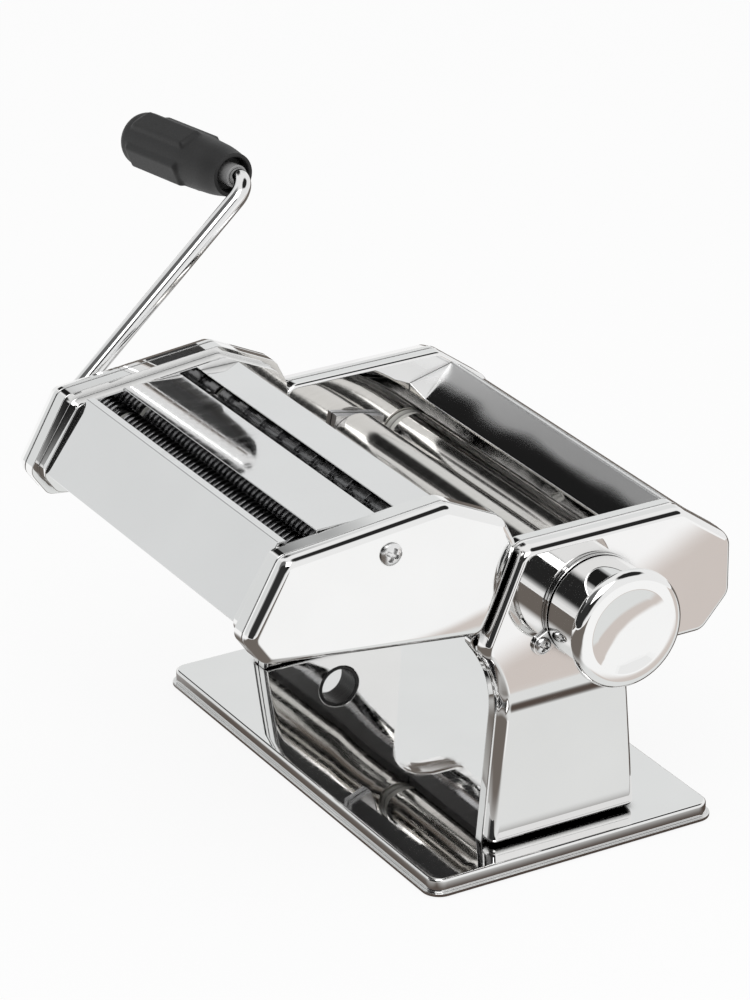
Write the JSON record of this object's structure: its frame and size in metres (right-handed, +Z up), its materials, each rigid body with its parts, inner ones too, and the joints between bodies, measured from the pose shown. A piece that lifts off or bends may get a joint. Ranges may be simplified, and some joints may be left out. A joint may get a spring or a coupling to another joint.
{
  "type": "pasta machine",
  "caption": "Hand-cranked pasta machine with a chromed body on a base plate, smooth rollers with a gap knob, a hopper, and a lift-off cutter unit with fine and wide cutters.",
  "frame": {"origin": "middle of the base plate, at the level of the table", "axes": "+X along the rollers towards the gap knob, +Y from the cutters to the hopper, +Z up"},
  "size_m": [0.2982, 0.2001, 0.2128],
  "materials": {
    "chrome": "polished chromed steel",
    "sheet_steel": "bright polished sheet steel",
    "roller_metal": "satin turned steel",
    "cutter_metal": "turned steel rings",
    "gear_steel": "plain cut steel, lightly greased",
    "works_steel": "bright drawn steel",
    "screw_steel": "polished screw heads",
    "scraper_plastic": "moulded dark plastic",
    "bush_plastic": "moulded pale plastic",
    "grip_plastic": "matt black moulded plastic",
    "ferrule_plastic": "grey moulded plastic",
    "foot_rubber": "black rubber"
  },
  "bodies": {
    "stand": {"base_plate": "chrome", "rubber_feet": "foot_rubber", "leg_screws": "screw_steel", "side_frame_left": "chrome", "side_frame_right": "chrome", "side_cover_left": "chrome", "side_cover_right": "chrome", "cover_studs_left": "works_steel", "cover_studs_right": "works_steel", "tie_rods": "works_steel", "tie_nuts": "works_steel", "clamp_sleeve": "bush_plastic", "hopper": "sheet_steel", "rear_panel": "sheet_steel", "rear_scraper": "scraper_plastic", "rear_bushes": "bush_plastic", "slide_rail_left": "works_steel", "slide_rail_right": "works_steel", "knob_collar": "chrome", "collar_screw": "screw_steel"},
    "rear_roller": {"rear_roller": "roller_metal", "rear_roller_gear": "gear_steel"},
    "roller_carriage": {"roller_carrier_left": "works_steel", "roller_carrier_right": "works_steel", "front_scraper": "scraper_plastic", "cam_follower": "works_steel"},
    "front_roller": {"front_roller": "roller_metal", "front_roller_gear": "gear_steel"},
    "adjust_cam": {"adjust_cam": "works_steel", "knob_shaft": "works_steel"},
    "adjust_knob": {"adjust_knob": "chrome", "stop_pin": "works_steel"},
    "cutter_unit": {"cutter_end_plate_left": "chrome", "cutter_end_plate_right": "chrome", "cutter_cap_left": "chrome", "cutter_cap_right": "chrome", "cap_brackets": "works_steel", "cap_spacers": "works_steel", "cap_screws": "screw_steel", "cutter_hook_left": "works_steel", "cutter_hook_right": "works_steel", "front_panel": "sheet_steel", "middle_deck": "sheet_steel", "rear_deck": "sheet_steel", "cutter_tie_rods": "works_steel", "cutter_bushes": "bush_plastic", "fine_combs": "scraper_plastic", "wide_combs": "scraper_plastic"},
    "fine_drive": {"fine_drive_cutter": "cutter_metal", "fine_drive_gear": "gear_steel"},
    "fine_idle": {"fine_idle_cutter": "cutter_metal", "fine_idle_gear": "gear_steel"},
    "wide_drive": {"wide_drive_cutter": "cutter_metal", "wide_drive_gear": "gear_steel"},
    "wide_idle": {"wide_idle_cutter": "cutter_metal", "wide_idle_gear": "gear_steel"},
    "crank": {"crank_rod": "chrome", "crank_pin": "works_steel", "grip_ferrule": "ferrule_plastic"},
    "grip": {"crank_grip": "grip_plastic"}
  },
  "joints": [
    {"name": "roller_spin", "type": "hinge", "parent": "stand", "child": "rear_roller", "pos_m": [0, 0.0363, 0.0914], "axis": [1, 0, 0], "continuous": true},
    {"name": "roller_gap", "type": "slide", "parent": "stand", "child": "roller_carriage", "axis": [0, 0.9767, -0.2147], "range_m": [0, 0.0025]},
    {"name": "front_roller_spin", "type": "hinge", "parent": "roller_carriage", "child": "front_roller", "pos_m": [0, 0.00993, 0.0972], "axis": [1, 0, 0], "continuous": true},
    {"name": "knob_turn", "type": "hinge", "parent": "stand", "child": "adjust_cam", "pos_m": [0.1021, 0.01115, 0.09693], "axis": [1, 0, 0], "range_deg": [0, 270]},
    {"name": "knob_pull", "type": "slide", "parent": "adjust_cam", "child": "adjust_knob", "axis": [1, 0, 0], "range_m": [0, 0.004], "stiffness_N_per_m": 900},
    {"name": "cutter_lift", "type": "slide", "parent": "stand", "child": "cutter_unit", "axis": [0, 0.4015, 0.9158], "range_m": [0, 0.036]},
    {"name": "fine_cutter_spin", "type": "hinge", "parent": "cutter_unit", "child": "fine_drive", "pos_m": [0, -0.1048, 0.1268], "axis": [1, 0, 0], "continuous": true},
    {"name": "fine_idle_spin", "type": "hinge", "parent": "cutter_unit", "child": "fine_idle", "pos_m": [0, -0.0896, 0.1268], "axis": [1, 0, 0], "continuous": true},
    {"name": "wide_cutter_spin", "type": "hinge", "parent": "cutter_unit", "child": "wide_drive", "pos_m": [0, -0.0705, 0.1268], "axis": [1, 0, 0], "continuous": true},
    {"name": "wide_idle_spin", "type": "hinge", "parent": "cutter_unit", "child": "wide_idle", "pos_m": [0, -0.0553, 0.1268], "axis": [1, 0, 0], "continuous": true},
    {"name": "crank_pull", "type": "slide", "parent": "fine_drive", "child": "crank", "axis": [-1, 0, 0], "range_m": [0, 0.03]},
    {"name": "grip_spin", "type": "hinge", "parent": "crank", "child": "grip", "pos_m": [-0.11154, -0.02212, 0.20203], "axis": [-0.9945, -0.0773, -0.0703], "continuous": true}
  ],
  "couplings": [
    {"joint": "front_roller_spin", "follows": "roller_spin", "ratio": -1},
    {"joint": "knob_turn", "follows": "roller_gap", "rad_per_m": 1885},
    {"joint": "fine_idle_spin", "follows": "fine_cutter_spin", "ratio": -1},
    {"joint": "wide_idle_spin", "follows": "wide_cutter_spin", "ratio": -1}
  ]
}
